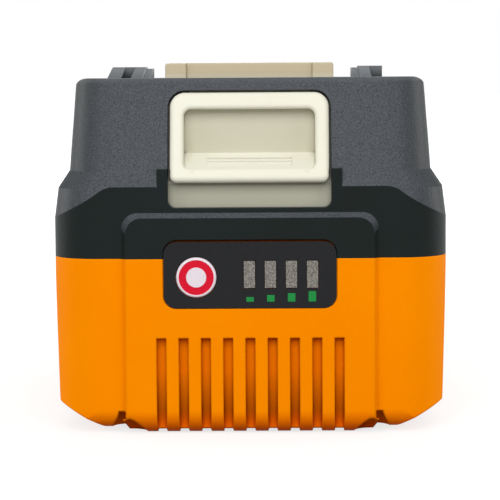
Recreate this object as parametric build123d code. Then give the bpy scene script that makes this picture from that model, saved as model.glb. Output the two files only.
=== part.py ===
from build123d import *
from math import radians, tan
import os

# A slide-on battery pack for power tools, in millimetres.
# +X is to the right, the front with the button faces -Y, and +Z is up.
# The origin is under the middle of the pack, on the surface that it stands on.

# Outline of the case. Heights above the parting line are given as rises from it.
case_width = 75.0
case_depth = 115.0
corner_radius = 9.0
wall = 2.0
parting_height = 33.4
side_draft = 0.9
chamfer_width = 9.0
chamfer_height = 4.8
chamfer_blend = 0.5
bottom_radius = 3.5
overrun = 5.0

# Raised panel that wraps from the front on to the underside
panel_width = 48.4
panel_relief = 1.0
panel_slope = 0.8
panel_rise = 8.6
panel_top_radius = 3.0
check_proud = 0.3

# Cooling slots in the panel
slot_count = 9
slot_margin = 7.4
slot_width = 1.5
slot_flare = 0.2
slot_depth = 1.8
slot_drop = 15.0
slot_run_under = 7.0

# Gauge label and its recess
label_width = 32.5
label_height = 12.5
label_drop = 9.3
label_radius = 2.4
label_thickness = 0.4
label_recess = 0.3
label_gap = 0.15
tab_rise = 0.3

# Check button beside the gauge
check_inset = 6.15
check_drop = 0.42
check_diameter = 7.6
check_gap = 0.15
check_rounding = 0.5
check_flange = 0.8
check_flange_height = 0.8
check_flange_gap = 0.15
check_travel = 0.6

# Charge windows and the bars of the light guide in them
window_count = 4
window_start = 10.0
window_inset = 4.5
window_width_share = 0.532
window_height = 5.1
window_rise = 0.1
window_gap = 0.1

# Screws that hold the case halves together
screw_beside_cheek = 0.9
screw_relief_radius = 3.4
screw_relief_skin = 0.35
screw_relief_height = 4.4
screw_seat = 7.0
screw_bore_radius = 2.65
screw_rear_inset = 3.75
screw_shank_radius = 1.5
screw_clearance = 0.2
screw_head_radius = 2.4
screw_head_height = 2.0
screw_tip_gap = 3.4
boss_radius = 3.1
boss_foot_radius = 3.8
boss_foot_height = 2.0

# Upper case: crown above the crease, shoulder, deck, rails and platform
crease_rise = 4.9
crown_lean = 15.0
side_break_drop = 6.1
shoulder_inset = 0.6
shoulder_drop = 0.5
neck_inset = 2.8
neck_rise = 2.8
crown_rise = 10.7
crown_inset = 4.0
crown_foot_radius = 10.8
crown_neck_radius = 10.4
crown_corner_radius = 9.0
crown_side_edge = 3.0
crown_front_edge = 1.0
block_thickness = 13.0
deck_rise = 9.6
rail_inset = 5.6
rail_thickness = 3.6
rail_corner_radius = 4.0
platform_inset = 8.1
platform_rise = 9.0
platform_rear_inset = 1.0
boss_drop = 0.5
thread_gap = 0.05
panel_ledge = 0.9
tab_gap = 0.1

# Guards over the two power terminals, and the slots that the blades enter
guard_rise = 3.5
guard_width = 7.1
guard_ledge_width = 1.4
guard_ledge_drop = 0.35
guard_behind_block = 14.7
guard_ramp_length = 24.5
guard_flat_length = 5.0
guard_foot = 0.6
blade_inset = 3.7
blade_slot_width = 2.2
blade_slot_drop = 1.8

# Window for the signal plug, open upwards and to the rear
plug_width = 17.0
plug_length = 31.5
plug_floor_rise = 1.5
plug_floor_thickness = 1.5

# Release button in the front of the upper case
button_width = 30.0
button_gap = 0.4
button_rise = 0.7
button_top_drop = 2.75
button_proud = 0.8
button_travel = 4.4
button_top_radius = 2.8
button_bottom_radius = 1.4
lip_rounding = 1.0
button_back_gap = 0.4
button_underside_drop = 0.5
button_heel_gap = 0.8
button_heel_step = 1.2
flange_reach = 2.2
flange_gap = 0.2
upright_step = 0.9
skirt_lap = 1.1
skirt_thickness = 1.5
skirt_gap = 0.3
opening_rest_gap = 0.3
opening_bottom_radius = 1.4
well_inset = 2.6
well_bottom_rise = 2.45
well_floor_rise = 2.95
well_top_drop = 3.15
well_depth = 5.4
well_radius = 1.4
well_rounding = 0.7
edge_reach = 0.1
ridge_count = 3
ridge_inset = 4.4
ridge_pitch = 1.2
ridge_radius = 0.25
tongue_reach = 1.0
tongue_rise = 2.8
tongue_thickness = 3.0
tongue_lug = 4.0
tongue_relief = 0.8
tongue_edge = 0.5
tongue_gap = 0.4

# Guide cheeks and shelf for the button's two springs
cheek_thickness = 1.5
cheek_gap = 0.3
shelf_drop = 8.0
shelf_thickness = 1.4
shelf_depth = 5.2
shelf_front_gap = 0.4
cable_notch_width = 7.2
cable_notch_depth = 2.2
spring_place_share = 0.3
spring_radius = 2.2
spring_wire = 0.3
spring_turns = 4
spring_seat_gap = 0.05

# Gauge behind the label: switch, lights, board and cable
switch_gap = 0.05
switch_width = 5.2
switch_body = 1.1
switch_plunger = 0.5
switch_plunger_radius = 1.4
light_web = 0.7
light_web_rim = 0.6
light_gap = 0.2
light_width_share = 0.76
light_height = 1.2
light_body = 0.8
gauge_board_inset = 1.05
gauge_board_drop = 1.1
gauge_board_top_drop = 0.2
gauge_board_thickness = 1.0
gauge_peg_inset = 1.6
gauge_peg_rise = 1.8
gauge_peg_top_drop = 1.3
gauge_peg_radius = 1.1
cable_width = 5.0
cable_thickness = 0.5
cable_bend = 1.2
cable_start_rise = 4.3
cable_under_board = 2.6
cable_rise_gap = 0.35
cable_end_inset = 1.2

# Cells in two layers, as large as their room allows, and the two holders that carry their ends
cell_columns = 5
cell_gap = 0.7
cell_end_room = 4.9
cell_room_front = 8.05
cell_room_rear = 5.65
cell_room_below = 0.4
cell_room_above = 11.3
cell_nub_radius = 3.0
cell_nub = 0.8
cell_shoulder = 0.6
socket_gap = 0.1
holder_skin = 0.75
holder_depth = 20.6
holder_chamfer = 1.0
rib_insets = (7.6, 17.6)
rib_width = 1.6
rib_inset = 2.0

# Nickel strips over the cell ends, and the sheets that cover them
strip_thickness = 0.3
strip_width = 8.0
strip_reach = 4.5
strip_tag_width = 3.0
strip_tag_rise = 0.8
sheet_thickness = 0.3
sheet_rim = 2.0

# Main board and what stands on it
board_inset = 5.4
board_thickness = 1.6
board_stand = 1.0
board_front_gap = 0.6
board_rear_gap = 5.5
board_corner_radius = 3.0
board_post_inset = 5.0
board_post_radius = 2.2
board_screw_radius = 0.95
board_screw_gap = 0.05
board_screw_length = 6.0
board_screw_head_radius = 2.0
board_screw_head = 1.4
transistor_count = 4
transistor_pitch = 8.5
transistor_size = (6.5, 10.0, 4.4)
transistor_place_share = 0.27
chip_size = (9.0, 9.0, 1.6)
chip_place_share = 0.42
terminal_ahead = 4.0
terminal_length = 18.0
terminal_rise = 6.0
terminal_pinch_rise = 3.0
terminal_base = 0.6
terminal_half_width = 1.5
terminal_leaf = 0.45
terminal_gap_share = (0.5, 0.25, 0.6)
connector_width = 14.0
connector_length = 13.0
connector_rise = 6.5
connector_gap = 0.3
pin_count = 5
pin_pitch = 2.54
pin_width = 0.64
pin_rise = 2.5
pin_reach = 7.0
pin_root = 4.0
thermistor_radius = 2.0
thermistor_length = 5.0
thermistor_gap = 0.05
thermistor_lead_radius = 0.3
thermistor_lead_pitch = 2.0

# Faces of the case, from front to rear
half_width = case_width / 2
check_face = -case_depth / 2
panel_face = check_face + check_proud
front_face = panel_face + panel_relief
rear_face = case_depth / 2
front_inner = front_face + wall
rear_inner = rear_face - wall
middle_depth = (front_face + rear_face) / 2
block_rear = front_face + block_thickness
block_inner = block_rear - wall

# Heights, from the floor up
floor_height = panel_relief + wall
slot_top = parting_height - slot_drop
label_bottom = parting_height - label_drop
label_middle = label_bottom + label_height / 2
panel_top = parting_height + panel_rise
crease_height = panel_top + crease_rise
side_break_height = crease_height - side_break_drop
shoulder_height = crease_height - shoulder_drop
neck_height = crease_height + neck_rise
boss_height = crease_height - boss_drop
deck_height = crease_height + deck_rise
platform_height = deck_height + platform_rise
crown_top = deck_height + crown_rise
guard_height = platform_height + guard_rise
blade_slot_bottom = deck_height - blade_slot_drop
plug_floor = deck_height + plug_floor_rise
screw_length = boss_height - screw_tip_gap - screw_seat

# Widths of the upper case, and places along it
shoulder_width = case_width - 2 * shoulder_inset
neck_width = case_width - 2 * neck_inset
crown_top_width = case_width - 2 * crown_inset
rail_width = case_width - 2 * rail_inset
platform_width = case_width - 2 * platform_inset
blade_across = platform_width / 2 - blade_inset
guard_ramp_start = block_rear + guard_behind_block
plug_front = rear_face - plug_length
lean = tan(radians(crown_lean))

# Release button, its flanges and its latch tongue
flange_width = button_width + 2 * flange_reach
upright_width = flange_width + 2 * flange_gap
upright_top = crease_height + upright_step / lean
button_bottom = crease_height + button_rise
button_top = crown_top - button_top_drop
button_underside = crease_height - button_underside_drop
well_width = button_width - 2 * well_inset
well_bottom = button_bottom + well_bottom_rise
well_back_bottom = well_bottom + well_floor_rise
well_top = button_top - well_top_drop
ridge_width = well_width - 2 * ridge_inset
tongue_width = button_width + 2 * tongue_reach
tongue_height = crown_top + tongue_rise
tongue_front = block_inner - button_back_gap - tongue_thickness
skirt_front = front_inner + skirt_gap
opening_bottom = button_bottom - button_travel - opening_rest_gap
skirt_bottom = opening_bottom - skirt_lap
shelf_front = skirt_front + skirt_thickness + shelf_front_gap
shelf_top = button_underside - shelf_drop
spring_across = button_width * spring_place_share

# Screws of the case, outside the button's guide cheeks
screw_across = flange_width / 2 + cheek_gap + cheek_thickness + boss_radius + screw_beside_cheek
screw_front = panel_face + screw_relief_skin + screw_relief_radius
screw_rear = rear_face - screw_rear_inset
screw_places = [(side * screw_across, depth) for side in (-1, 1) for depth in (screw_front, screw_rear)]

# Gauge in the panel
slot_pitch = (panel_width - 2 * slot_margin) / (slot_count - 1)
label_floor = panel_face + label_recess
check_across = check_inset - label_width / 2
check_height = label_middle - check_drop
window_first = check_across + window_start
window_pitch = (label_width / 2 - window_inset - window_first) / (window_count - 1)
window_width = window_pitch * window_width_share
window_level = label_middle + window_rise
window_places = [window_first + index * window_pitch for index in range(window_count)]
flange_rear = front_inner + check_flange_gap + check_flange_height
gauge_board_front = flange_rear + check_travel + switch_gap + switch_plunger + switch_body
gauge_board_width = label_width - 2 * gauge_board_inset
gauge_board_bottom = label_bottom - gauge_board_drop
gauge_board_top = label_bottom + label_height - gauge_board_top_drop
gauge_peg_across = gauge_board_width / 2 - gauge_peg_inset
gauge_peg_low = gauge_board_bottom + gauge_peg_rise
gauge_peg_high = gauge_board_top - gauge_peg_top_drop
light_width = window_width * light_width_share

# Room for the cells, and the largest round cell that fits it both ways
cell_length = case_width - 2 * cell_end_room
cell_end = cell_length / 2
holder_front = front_inner + cell_room_front
holder_rear = rear_inner - cell_room_rear
holder_bottom = panel_relief + chamfer_height + cell_room_below
holder_top = deck_height - cell_room_above
holder_margin = socket_gap + holder_skin
row_room = holder_rear - holder_front - 2 * holder_margin - (cell_columns - 1) * cell_gap
layer_room = holder_top - holder_bottom - 2 * holder_margin - cell_gap
cell_radius = min(row_room / cell_columns, layer_room / 2) / 2
socket_radius = cell_radius + socket_gap
holder_rim = socket_radius + holder_skin
cell_low = holder_bottom + holder_rim
cell_high = holder_top - holder_rim
cell_pitch = (holder_rear - holder_front - 2 * holder_rim) / (cell_columns - 1)
cell_depths = [holder_front + holder_rim + index * cell_pitch for index in range(cell_columns)]
rib_places = [cell_end - inset for inset in rib_insets]

# Main board and what stands on it
board_width = case_width - 2 * board_inset
board_bottom = holder_top + board_stand
board_top = board_bottom + board_thickness
board_front = block_rear + board_front_gap
board_rear = rear_inner - board_rear_gap
board_length = board_rear - board_front
board_post_across = cell_end - holder_depth + board_post_inset
board_post_depths = [(cell_depths[0] + cell_depths[1]) / 2, (cell_depths[-2] + cell_depths[-1]) / 2]
transistor_middle = board_front + board_length * transistor_place_share
chip_middle = board_front + board_length * chip_place_share
terminal_front = plug_front - terminal_ahead
terminal_height = deck_height + terminal_rise
terminal_pinch = deck_height + terminal_pinch_rise
connector_height = deck_height + connector_rise
pin_height = plug_floor + pin_rise
button_heel = holder_top + button_travel + button_heel_gap
cable_start = gauge_board_bottom + cable_start_rise
cable_rise = board_bottom - cable_under_board


def block(x_low, x_high, y_low, y_high, z_low, z_high):
    """A box between two corners."""
    size = (x_high - x_low, y_high - y_low, z_high - z_low)
    return Pos(x_low, y_low, z_low) * Box(*size, align=(Align.MIN, Align.MIN, Align.MIN))


def front_view(sketch, depth, reach):
    """Extrude a sketch of (x, z) from the given depth, by reach towards the rear."""
    plane = Plane(origin=(0, depth, 0), x_dir=(1, 0, 0), z_dir=(0, -1, 0))
    return extrude(plane * sketch, -reach)


def side_view(sketch, width):
    """Extrude a sketch of (y, z) over the given width, centred on the middle."""
    plane = Plane(origin=(0, 0, 0), x_dir=(0, 1, 0), z_dir=(1, 0, 0))
    return extrude(plane * sketch, width / 2, both=True)


def outline(points, radii):
    """A closed face with its corners rounded."""
    return make_face(FilletPolyline(*points, radius=radii, close=True))


def rounded_window(width, height, radius, across, level):
    """A rounded rectangle in the front view."""
    return Pos(across, level) * RectangleRounded(width, height, radius)


def pin(across, level, radius, front, rear):
    """A round bar along Y between two depths."""
    return front_view(Pos(across, level) * Circle(radius), front, rear - front)


def post(across, depth, radius, low, high):
    """A round bar along Z between two heights."""
    return Pos(across, depth, low) * extrude(Circle(radius), high - low)


def tub(inset):
    """The lower case's outer form, or its cavity when inset by the wall."""
    foot_width = half_width - side_draft - chamfer_width
    side_width = half_width - side_draft
    side_level = panel_relief + chamfer_height
    top = parting_height + overrun
    section = outline(
        [(-foot_width, panel_relief), (foot_width, panel_relief), (side_width, side_level),
         (half_width, parting_height), (half_width, top), (-half_width, top),
         (-half_width, parting_height), (-side_width, side_level)],
        [chamfer_blend, chamfer_blend, chamfer_blend, 0, 0, 0, 0, chamfer_blend])
    plan = RectangleRounded(case_width, rear_face - front_face, corner_radius)
    profile = outline(
        [(front_face, panel_relief), (rear_face, panel_relief), (rear_face, top), (front_face, top)],
        [bottom_radius, bottom_radius, 0, 0])
    if inset:
        section = offset(section, -inset)
        plan = offset(plan, -inset)
        profile = offset(profile, -inset)
    body = front_view(section, front_face - overrun, case_depth + 2 * overrun)
    body = body & Pos(0, middle_depth, 0) * extrude(plan, top)
    return body & side_view(profile, case_width)


def panel_prism(low, high):
    """The panel's front part between two heights, with sloping long edges."""
    root = panel_width / 2
    face = root - panel_slope
    section = Polyline((-root, front_inner), (-root, front_face), (-face, panel_face),
                       (face, panel_face), (root, front_face), (root, front_inner), close=True)
    return Pos(0, 0, low) * extrude(make_face(section), high - low)


def panel_underside():
    """The panel's part below the case, with sloping long edges."""
    root = panel_width / 2
    face = root - panel_slope
    section = Polyline((-root, floor_height), (-root, panel_relief), (-face, 0),
                       (face, 0), (root, panel_relief), (root, floor_height), close=True)
    length = rear_face - bottom_radius - panel_face
    return front_view(make_face(section), panel_face, length)


def slot_cutters():
    """Cutters for the slots, up the front and on under the edge, wider at their mouths."""
    floor = slot_width / 2
    mouth = floor + slot_flare
    floor_face = panel_face + slot_depth
    upright = Polyline((-mouth, panel_face), (mouth, panel_face),
                       (floor, floor_face), (-floor, floor_face), close=True)
    under = Polyline((-mouth, 0), (mouth, 0), (floor, panel_relief), (-floor, panel_relief), close=True)
    front_cut = extrude(make_face(upright), slot_top)
    under_cut = front_view(make_face(under), panel_face, slot_run_under)
    cutter = front_cut + under_cut
    first = -(slot_count - 1) / 2 * slot_pitch
    return [Pos(first + index * slot_pitch, 0, 0) * cutter for index in range(slot_count)]


def lower_panel():
    """The raised panel, as the material outside the case's plain form."""
    edge = bottom_radius + panel_relief
    profile = outline(
        [(panel_face, 0), (rear_face, 0), (rear_face, parting_height), (panel_face, parting_height)],
        [edge, edge, 0, 0])
    panel = (panel_prism(0, parting_height) + panel_underside()) & side_view(profile, panel_width)
    return panel - tub(0)


def label_tab(gap, front, rear):
    """Tongue of the lower case that rises behind the label, or its notch with a gap."""
    top = label_bottom + label_height + tab_rise + gap
    low = parting_height - wall
    width = label_width - 2 * label_gap + 2 * gap
    face = rounded_window(width, 2 * (top - low), label_radius + gap, 0, low)
    face = face & Pos(0, (top + low) / 2) * Rectangle(width, top - low)
    return front_view(face, front, rear - front)


def label_pocket():
    """Cutter for the shallow recess that the label is stuck in."""
    width = label_width + 2 * label_gap
    low = label_bottom - label_gap
    top = label_bottom + label_height + tab_rise
    face = rounded_window(width, top - low, label_radius + label_gap, 0, (top + low) / 2)
    return front_view(face, panel_face - overrun, overrun + label_recess)


def gauge_cuts(gap):
    """Cutters for the check button's hole and the charge windows."""
    radius = check_diameter / 2 + gap
    cuts = [pin(check_across, check_height, radius, panel_face - overrun, front_inner + overrun)]
    for across in window_places:
        window = Pos(across, window_level) * Rectangle(window_width + 2 * gap, window_height + 2 * gap)
        cuts.append(front_view(window, panel_face - overrun, front_inner - panel_face + 2 * overrun))
    return cuts


def lower_supports():
    """Ribs under the cell holders, and the pegs that carry the gauge board."""
    supports = []
    front = holder_front + rib_inset
    rear = holder_rear - rib_inset
    for side in (-1, 1):
        for place in rib_places:
            middle = side * place
            supports.append(block(middle - rib_width / 2, middle + rib_width / 2, front, rear,
                                  panel_relief + wall / 2, holder_bottom))
        for level in (gauge_peg_low, gauge_peg_high):
            supports.append(pin(side * gauge_peg_across, level, gauge_peg_radius,
                                front_inner - wall / 2, gauge_board_front))
    return Part() + supports


def lower_case():
    """Orange tub with its screw bosses and the ribs that carry the cells."""
    rim = block(-half_width, half_width, front_face, rear_face, panel_relief, parting_height)
    case = (tub(0) - tub(wall)) & rim
    bosses = []
    for across, depth in screw_places:
        bosses.append(post(across, depth, boss_foot_radius, panel_relief, screw_seat + boss_foot_height))
        bosses.append(post(across, depth, boss_radius, panel_relief, parting_height))
    bosses = Part() + bosses
    case = case + (bosses & tub(0)) + lower_panel() + label_tab(0, front_face, front_inner)
    case = case + lower_supports()
    for across, depth in screw_places:
        case = case - post(across, depth, screw_relief_radius, -overrun, screw_relief_height)
        case = case - post(across, depth, screw_bore_radius, -overrun, screw_seat)
        case = case - post(across, depth, screw_shank_radius + screw_clearance, 0, parting_height + overrun)
    case = case - label_pocket() - slot_cutters()
    return case - gauge_cuts(check_gap)


def crown_front(level):
    """Depth of the leaning front face at a height."""
    return front_face + (level - crease_height) * lean


def crown_section(width, level, radius, inset):
    """Plan section of the crown, cut at one height."""
    side = width / 2 - inset
    front = crown_front(level) + inset
    rear = rear_face - inset
    turn = radius - inset
    tail = corner_radius - inset
    section = outline([(-side, front), (side, front), (side, rear), (-side, rear)], [turn, turn, tail, tail])
    return Pos(0, 0, level) * section


def crown(inset):
    """Leaning form of the upper case, or its cavity when inset by the wall."""
    low = parting_height - overrun
    flare = (case_width - shoulder_width) / (shoulder_height - side_break_height)
    low_width = shoulder_width + flare * (shoulder_height - low)
    levels = [(low_width, low, crown_foot_radius), (shoulder_width, shoulder_height, crown_foot_radius),
              (neck_width, neck_height, crown_neck_radius), (crown_top_width, crown_top, crown_corner_radius)]
    form = loft([crown_section(*level, inset) for level in levels], ruled=True)
    plan = RectangleRounded(case_width, rear_face - front_face, corner_radius)
    if inset:
        plan = offset(plan, -inset)
    return form & Pos(0, middle_depth, low) * extrude(plan, crown_top - low)


def head_form():
    """Solid form of the upper case above the parting line, without its rails."""
    side = case_width / 2
    low = parting_height
    section = outline(
        [(-side, low), (side, low), (side, neck_height), (crown_top_width / 2, crown_top),
         (-crown_top_width / 2, crown_top), (-side, neck_height)],
        [0, 0, 0, crown_side_edge, crown_side_edge, 0])
    profile = outline(
        [(front_face, low), (rear_face, low), (rear_face, deck_height), (block_rear, deck_height),
         (block_rear, crown_top), (crown_front(crown_top), crown_top), (front_face, crease_height)],
        [0, 0, 0, 0, crown_front_edge, crown_front_edge, 0])
    form = crown(0) & front_view(section, front_face, case_depth)
    return form & side_view(profile, case_width)


def rails():
    """Platform behind the button block, with the two rails that overhang its sides."""
    rear = rear_face - platform_rear_inset
    length = rear - block_rear
    middle = rear - length / 2
    side = platform_width / 2
    core = block(-side, side, block_rear, rear, deck_height - wall, platform_height)
    plan = Pos(0, middle) * Rectangle(rail_width, length)
    plan = fillet(plan.vertices().group_by(Axis.Y)[-1], rail_corner_radius)
    plate = Pos(0, 0, platform_height - rail_thickness) * extrude(plan, rail_thickness)
    return core + plate


def guard(side, outer):
    """Raised guard beside a blade slot, with its front ramp and inner ledge."""
    ramp_end = guard_ramp_start + guard_ramp_length
    rear = ramp_end + guard_flat_length
    inner = platform_width / 2 - guard_width
    root = platform_height - wall
    pieces = []
    for near, far, top in ((inner, outer, guard_height),
                           (inner - guard_ledge_width, inner, guard_height - guard_ledge_drop)):
        profile = Polyline((guard_ramp_start, platform_height), (ramp_end, top), (rear, top),
                           (rear, root), (guard_ramp_start, root), close=True)
        middle = side * (near + far) / 2
        pieces.append(Pos(middle, 0, 0) * side_view(make_face(profile), far - near))
    return pieces[0] + pieces[1]


def guard_bridge():
    """Bridge over the right blade slot, behind the guard that has no outer wall."""
    inner = platform_width / 2 - guard_width
    outer = blade_across + blade_slot_width / 2 + guard_foot
    front = guard_ramp_start + guard_ramp_length
    return block(inner, outer, front, front + guard_flat_length, platform_height - wall, guard_height)


def head_cavity():
    """Space inside the upper case."""
    high = crown_top - wall
    body = crown(wall)
    low_part = body & block(-half_width, half_width, front_face, rear_face, parting_height - wall,
                            deck_height - wall)
    block_part = body & block(-half_width, half_width, front_face, block_inner, parting_height, high)
    hollow = platform_width / 2 - wall
    platform_part = block(-hollow, hollow, block_rear, rear_inner - wall, neck_height, platform_height - wall)
    return low_part + block_part + platform_part


def head_inner_walls():
    """Back wall of the button block, guide cheeks, spring shelf and plug channel."""
    guide = flange_width / 2 + cheek_gap
    low = shelf_top - shelf_thickness
    high = crown_top - wall
    walls = [block(-half_width, half_width, block_inner, block_rear, button_underside, high)]
    for side in (-1, 1):
        middle = side * (guide + cheek_thickness / 2)
        half = cheek_thickness / 2
        walls.append(block(middle - half, middle + half, front_face, shelf_front + shelf_depth, low, high))
        screw = Part() + [post(side * screw_across, depth, boss_radius, parting_height, boss_height)
                          for depth in (screw_front, screw_rear)]
        walls.append(screw)
    walls.append(block(-guide, guide, shelf_front, shelf_front + shelf_depth, low, shelf_top))
    channel = plug_width / 2 + wall
    walls.append(block(-channel, channel, plug_front, rear_face - platform_rear_inset,
                       plug_floor - plug_floor_thickness, platform_height))
    return (Part() + walls) & (head_form() + rails())


def button_opening():
    """Cutter for the opening in front of the release button."""
    side = button_width / 2 + button_gap
    top = button_top + button_gap
    high = button_top_radius + button_gap
    face = outline([(-side, opening_bottom), (side, opening_bottom), (side, top), (-side, top)],
                   [opening_bottom_radius, opening_bottom_radius, high, high])
    reach = crown_front(top) + wall - panel_face + button_gap
    return front_view(face, panel_face - overrun, reach + overrun)


def head_cuts():
    """Cutters for the openings of the upper case."""
    rear = rear_face + overrun
    cuts = [button_opening(), label_pocket(), label_tab(tab_gap, panel_face - overrun, front_inner + overrun)]
    tongue_side = tongue_width / 2 + tongue_gap
    cuts.append(block(-tongue_side, tongue_side, tongue_front - tongue_gap, block_inner,
                      button_top, crown_top + overrun))
    for side in (-1, 1):
        low = side * blade_across - blade_slot_width / 2
        cuts.append(block(low, low + blade_slot_width, guard_ramp_start, rear, blade_slot_bottom,
                          platform_height))
        cuts.append(block(low, low + blade_slot_width, guard_ramp_start, guard_ramp_start + guard_ramp_length,
                          deck_height, guard_height + overrun))
    half = plug_width / 2
    cuts.append(block(-half, half, plug_front, rear, plug_floor, platform_height + overrun))
    notch = cable_notch_width / 2
    shelf_rear = shelf_front + shelf_depth
    cuts.append(block(-notch, notch, shelf_rear - cable_notch_depth, shelf_rear + overrun / 2,
                      shelf_top - overrun, shelf_top + overrun / 2))
    for across, depth in screw_places:
        cuts.append(post(across, depth, screw_shank_radius + thread_gap, 0, screw_seat + screw_length + wall))
    return cuts


def upper_panel():
    """Top of the raised panel, with its sloping ledge."""
    root = panel_width / 2
    face = root - panel_slope
    top = panel_top - panel_ledge
    radius = panel_top_radius
    low = parting_height
    back = outline([(-root, low), (root, low), (root, panel_top), (-root, panel_top)], [0, 0, radius, radius])
    front = outline([(-face, low), (face, low), (face, top), (-face, top)], [0, 0, radius, radius])
    plane = Plane(origin=(0, front_face, 0), x_dir=(1, 0, 0), z_dir=(0, -1, 0))
    return loft([plane * back, plane.offset(panel_relief) * front], ruled=True)


def button_surround():
    """Upright face that runs on above the crease beside the button."""
    side = upright_width / 2
    return block(-side, side, front_face, front_inner, panel_top, upright_top)


def upper_case():
    """Dark upper shell with the button block, rails, terminal guards and openings."""
    key_side = platform_width / 2
    open_side = blade_across + blade_slot_width / 2
    form = head_form() + rails() + guard(-1, key_side) + guard(1, open_side) + guard_bridge()
    case = form - head_cavity() + head_inner_walls() + upper_panel() + button_surround()
    return case - head_cuts()


def lip_front(level):
    """Depth of the release button's leaning face at a height."""
    return crown_front(level) - button_proud


def button_face_edges(form, width, low, high):
    """Edges in the button's front face, within a width and between two heights."""
    found = []
    for edge in form.edges():
        middle = edge.center()
        in_face = abs(middle.Y - lip_front(middle.Z)) < edge_reach
        in_height = low - edge_reach < middle.Z < high + edge_reach
        if in_face and in_height and abs(middle.X) < width / 2 + edge_reach:
            found.append(edge)
    return found


def button_lip():
    """Front frame of the button, with soft outer edges."""
    side = button_width / 2
    face = outline([(-side, button_bottom), (side, button_bottom), (side, button_top), (-side, button_top)],
                   [button_bottom_radius, button_bottom_radius, button_top_radius, button_top_radius])
    back = skirt_front + skirt_thickness
    high_back = back + (button_top - crease_height) * lean
    profile = Polyline((lip_front(button_bottom), button_bottom), (lip_front(button_top), button_top),
                       (high_back, button_top), (back, button_bottom), close=True)
    lip = front_view(face, lip_front(0), rear_face) & side_view(make_face(profile), button_width)
    return fillet(button_face_edges(lip, button_width, button_bottom, button_top), lip_rounding)


def button_body():
    """Part of the button behind the wall: skirt, flanges and heel."""
    back = block_inner - button_back_gap
    heel = back - button_heel_step
    skirt_back = skirt_front + skirt_thickness
    high_front = skirt_front + (button_top - crease_height) * lean
    profile = Polyline((skirt_front, skirt_bottom), (skirt_front, crease_height), (high_front, button_top),
                       (back, button_top), (back, button_heel), (heel, button_heel),
                       (heel, button_underside), (skirt_back, button_underside),
                       (skirt_back, skirt_bottom), close=True)
    return side_view(make_face(profile), flange_width)


def button_well():
    """Cutter for the finger well, with its floor rising to the back."""
    height = well_top - well_bottom
    face = rounded_window(well_width, height, well_radius, 0, well_bottom + height / 2)
    outside = lip_front(well_bottom) - overrun
    profile = Polyline((lip_front(well_bottom), well_bottom),
                       (lip_front(well_back_bottom) + well_depth, well_back_bottom),
                       (lip_front(well_back_bottom) + well_depth, well_top),
                       (outside, well_top), (outside, well_bottom), close=True)
    return front_view(face, panel_face - overrun, case_depth) & side_view(make_face(profile), well_width)


def button_ridges():
    """Fine ridges along the floor of the finger well."""
    front = Vector(lip_front(well_bottom), well_bottom)
    back = Vector(lip_front(well_back_bottom) + well_depth, well_back_bottom)
    middle = (front + back) / 2
    along = (back - front).normalized()
    ridges = []
    for index in range(ridge_count):
        place = middle + along * (index - (ridge_count - 1) / 2) * ridge_pitch
        ridges.append(side_view(Pos(place.X, place.Y) * Circle(ridge_radius), ridge_width))
    return ridges


def button_tongue():
    """Latch tongue that stands above the case, thinner between its two lugs."""
    side = tongue_width / 2
    low = button_top - wall
    face = outline([(-side, low), (side, low), (side, tongue_height), (-side, tongue_height)],
                   [0, 0, tongue_edge, tongue_edge])
    tongue = front_view(face, tongue_front, tongue_thickness)
    middle = side - tongue_lug
    relief = block(-middle, middle, tongue_front - overrun, tongue_front + tongue_relief,
                   button_top, tongue_height + overrun)
    return tongue - relief


def release_button():
    """Cream button, moulded in one piece with the latch tongue."""
    button = button_body() + button_lip() + button_tongue() - button_well()
    rim = button_face_edges(button, well_width, well_bottom, well_top)
    return fillet(rim, well_rounding) + button_ridges()


def button_spring(side):
    """Coil spring between the shelf and the button."""
    low = shelf_top + spring_seat_gap + spring_wire
    height = button_underside - spring_seat_gap - spring_wire - low
    centre = (side * spring_across, shelf_front + shelf_depth / 2, low)
    path = Helix(height / spring_turns, height, spring_radius, center=centre)
    start = Plane(origin=path @ 0, z_dir=path % 0)
    return sweep(start * Circle(spring_wire), path=path, is_frenet=True)


def check_button():
    """Round push button of the charge gauge, with its flange behind the wall."""
    radius = check_diameter / 2
    cap = pin(check_across, check_height, radius, check_face, flange_rear)
    cap = fillet(cap.edges().group_by(Axis.Y)[0], check_rounding)
    flange_front = front_inner + check_flange_gap
    flange = pin(check_across, check_height, radius + check_flange, flange_front, flange_rear)
    return cap + flange


def gauge_label():
    """Dark label plate with the holes for the button and the charge windows."""
    face = rounded_window(label_width, label_height, label_radius, 0, label_middle)
    plate = front_view(face, label_floor - label_thickness, label_thickness)
    return plate - gauge_cuts(check_gap)


def light_guides():
    """Clear bars that carry the light to the windows, joined by a web behind the wall."""
    front = label_floor - label_thickness
    rear = gauge_board_front - light_body - light_gap
    bar = front_view(Rectangle(window_width, window_height), front, rear - front)
    bars = [Pos(across, 0, window_level) * bar for across in window_places]
    width = window_places[-1] - window_places[0] + window_width + 2 * light_web_rim
    middle = (window_places[0] + window_places[-1]) / 2
    web = front_view(Pos(middle, window_level) * Rectangle(width, window_height + 2 * light_web_rim),
                     front_inner + window_gap, light_web)
    return web + bars


def gauge_board():
    """Upright circuit board of the gauge."""
    height = gauge_board_top - gauge_board_bottom
    face = Pos(0, gauge_board_bottom + height / 2) * Rectangle(gauge_board_width, height)
    return front_view(face, gauge_board_front, gauge_board_thickness)


def gauge_lights():
    """Four small lights on the gauge board, one behind each bar."""
    lights = [front_view(Pos(across, window_level) * Rectangle(light_width, light_height),
                         gauge_board_front - light_body, light_body) for across in window_places]
    return Compound(children=[light.solid() for light in lights])


def check_switch():
    """Push switch behind the check button."""
    face = Pos(check_across, check_height) * Rectangle(switch_width, switch_width)
    body = front_view(face, gauge_board_front - switch_body, switch_body)
    front = gauge_board_front - switch_body - switch_plunger
    return body + pin(check_across, check_height, switch_plunger_radius, front, gauge_board_front)


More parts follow.
